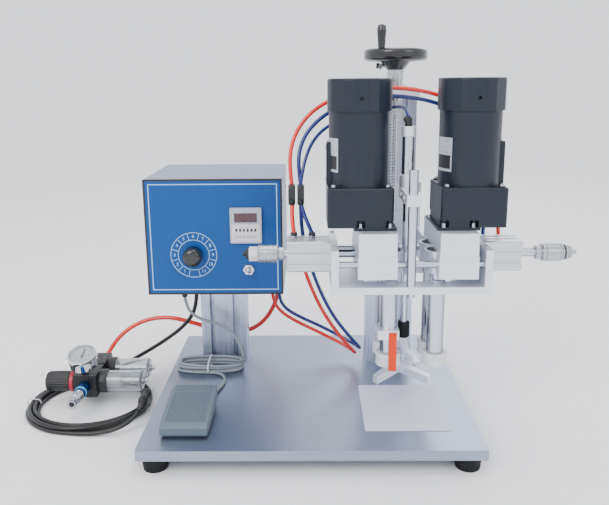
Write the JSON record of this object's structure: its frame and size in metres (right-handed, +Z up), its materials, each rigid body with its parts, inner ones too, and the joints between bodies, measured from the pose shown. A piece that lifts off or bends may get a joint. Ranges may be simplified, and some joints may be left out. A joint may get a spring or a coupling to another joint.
{
  "type": "capping machine",
  "caption": "Desktop bottle capping machine: motor-driven wheels on sliding carriages close in on a cap, under a hand-raised head, with a control box, foot pedal and air unit.",
  "frame": {"origin": "where a bottle's axis meets the frosted pad's top face", "axes": "+X to the operator's right along the tray's long side, +Y away from the operator, +Z up, along the presser's axis"},
  "size_m": [0.8511, 0.405, 0.6083],
  "materials": {
    "stainless": "brushed",
    "black_rubber": "matt moulded",
    "frosted_sheet": "frosted",
    "profile_aluminium": "anodised satin",
    "machined_aluminium": "bead blasted",
    "grey_paint": "powder coat",
    "blue_panel": "printed film on aluminium",
    "dark_plastic": "moulded",
    "timer_grey": "moulded",
    "black_plastic": "moulded",
    "chrome": "plated",
    "bright_steel": "ground and plated",
    "gear_steel": "cut steel",
    "motor_paint": "satin enamel",
    "white_wheel": "moulded nylon",
    "orange_silicone": "silicone",
    "pedal_grey": "moulded",
    "black_cable": "extruded",
    "grey_cable": "extruded",
    "clear_bowl": "clear moulded",
    "red_hose": "extruded"
  },
  "bodies": {
    "base": {"base_tray": "stainless", "rubber_feet": "black_rubber", "bottle_pad": "frosted_sheet", "left_column": "profile_aluminium", "centre_column": "profile_aluminium", "box_shell": "grey_paint", "front_panel": "blue_panel", "box_electrics": "dark_plastic", "timer_body": "timer_grey", "top_bearing_plate": "machined_aluminium", "locator_bar": "machined_aluminium", "pedal_base": "pedal_grey", "power_cord_coil": "black_cable", "power_plug": "black_cable", "power_cord": "black_cable", "pedal_cable_coil": "grey_cable", "pedal_cable": "grey_cable", "air_unit_body": "black_plastic", "air_unit_bowls": "clear_bowl", "gauge_body": "bright_steel", "air_hose": "red_hose"},
    "dial": {"dial_knob": "black_plastic"},
    "toggle": {"toggle_lever": "chrome"},
    "handwheel": {"lead_screw": "bright_steel", "handwheel": "black_plastic"},
    "grip": {"handwheel_grip": "black_plastic"},
    "head": {"head_slide": "machined_aluminium", "head_bracket": "machined_aluminium", "guide_rods": "bright_steel", "air_cylinders": "machined_aluminium", "presser_post": "bright_steel", "presser_arm": "machined_aluminium", "presser_cylinder": "machined_aluminium", "head_hoses": "red_hose"},
    "presser": {"presser_rod": "bright_steel", "presser_plug": "black_rubber"},
    "locator": {"vee_locator": "machined_aluminium"},
    "pedal": {"pedal_treadle": "pedal_grey"},
    "regulator": {"regulator_knob": "black_plastic"},
    "needle": {"gauge_needle": "dark_plastic"},
    "left_carriage": {"left_lower_block": "machined_aluminium", "left_upper_block": "machined_aluminium", "left_gearbox": "motor_paint", "left_motor": "motor_paint", "left_cylinder_rod": "bright_steel", "left_spindle_sleeves": "bright_steel", "strip_clamp": "machined_aluminium", "stop_strip": "orange_silicone"},
    "left_drive": {"left_drive_gear": "gear_steel"},
    "left_front_wheel": {"left_front_spindle": "white_wheel"},
    "left_rear_wheel": {"left_rear_spindle": "white_wheel"},
    "right_carriage": {"right_lower_block": "machined_aluminium", "right_upper_block": "machined_aluminium", "right_gearbox": "motor_paint", "right_motor": "motor_paint", "right_cylinder_rod": "bright_steel", "right_spindle_sleeves": "bright_steel"},
    "right_drive": {"right_drive_gear": "gear_steel"},
    "right_front_wheel": {"right_front_spindle": "white_wheel"},
    "right_rear_wheel": {"right_rear_spindle": "white_wheel"}
  },
  "joints": [
    {"name": "handwheel_turn", "type": "hinge", "parent": "base", "child": "handwheel", "pos_m": [0, 0.153, 0.5], "axis": [0, 0, 1], "range_deg": [-1800, 8640]},
    {"name": "head_height", "type": "slide", "parent": "base", "child": "head", "axis": [0, 0, 1], "range_m": [-0.025, 0.12], "deforming": ["head_hoses"]},
    {"name": "handwheel_grip_spin", "type": "hinge", "parent": "handwheel", "child": "grip", "pos_m": [-0.026, 0.12001, 0.55], "axis": [0, 0, 1], "continuous": true},
    {"name": "dial_turn", "type": "hinge", "parent": "base", "child": "dial", "pos_m": [-0.324, 0.095, 0.2147], "axis": [0, -1, 0], "range_deg": [-135, 135]},
    {"name": "toggle_throw", "type": "hinge", "parent": "base", "child": "toggle", "pos_m": [-0.236, 0.096, 0.19], "axis": [1, 0, 0], "range_deg": [-13, 13]},
    {"name": "presser_slide", "type": "slide", "parent": "head", "child": "presser", "axis": [0, 0, 1], "range_m": [-0.025, 0]},
    {"name": "locator_slide", "type": "slide", "parent": "base", "child": "locator", "axis": [0, 1, 0], "range_m": [-0.012, 0.006]},
    {"name": "pedal_press", "type": "hinge", "parent": "base", "child": "pedal", "pos_m": [-0.316, -0.066, 0.006], "axis": [1, 0, 0], "range_deg": [-4, 0], "stiffness_Nm_per_rad": 6, "springref_deg": 2.86},
    {"name": "regulator_turn", "type": "hinge", "parent": "base", "child": "regulator", "pos_m": [-0.55, 0.1, -0.0007], "axis": [-1, 0, 0], "range_deg": [-360, 720]},
    {"name": "gauge_swing", "type": "hinge", "parent": "base", "child": "needle", "pos_m": [-0.514, 0.096, 0.0403], "axis": [0, -0.342, 0.9397], "range_deg": [-270, 0]},
    {"name": "left_carriage_slide", "type": "slide", "parent": "head", "child": "left_carriage", "axis": [1, 0, 0], "range_m": [-0.02, 0.004]},
    {"name": "left_drive_spin", "type": "hinge", "parent": "left_carriage", "child": "left_drive", "pos_m": [-0.05004, 0, 0.24], "axis": [0, 0, 1], "continuous": true},
    {"name": "left_front_wheel_spin", "type": "hinge", "parent": "left_carriage", "child": "left_front_wheel", "pos_m": [-0.025, -0.0215, 0.15], "axis": [0, 0, 1], "continuous": true},
    {"name": "left_rear_wheel_spin", "type": "hinge", "parent": "left_carriage", "child": "left_rear_wheel", "pos_m": [-0.025, 0.0215, 0.15], "axis": [0, 0, 1], "continuous": true},
    {"name": "right_carriage_slide", "type": "slide", "parent": "head", "child": "right_carriage", "axis": [1, 0, 0], "range_m": [-0.024, 0.006]},
    {"name": "right_drive_spin", "type": "hinge", "parent": "right_carriage", "child": "right_drive", "pos_m": [0.06703, 0, 0.24], "axis": [0, 0, 1], "continuous": true},
    {"name": "right_front_wheel_spin", "type": "hinge", "parent": "right_carriage", "child": "right_front_wheel", "pos_m": [0.042, -0.0215, 0.15], "axis": [0, 0, 1], "continuous": true},
    {"name": "right_rear_wheel_spin", "type": "hinge", "parent": "right_carriage", "child": "right_rear_wheel", "pos_m": [0.042, 0.0215, 0.15], "axis": [0, 0, 1], "continuous": true}
  ],
  "couplings": [
    {"joint": "handwheel_turn", "follows": "head_height", "rad_per_m": 1256.6},
    {"joint": "left_front_wheel_spin", "follows": "left_drive_spin", "ratio": -1.3571},
    {"joint": "left_rear_wheel_spin", "follows": "left_drive_spin", "ratio": -1.3571},
    {"joint": "right_front_wheel_spin", "follows": "right_drive_spin", "ratio": -1.3571},
    {"joint": "right_rear_wheel_spin", "follows": "right_drive_spin", "ratio": -1.3571}
  ]
}
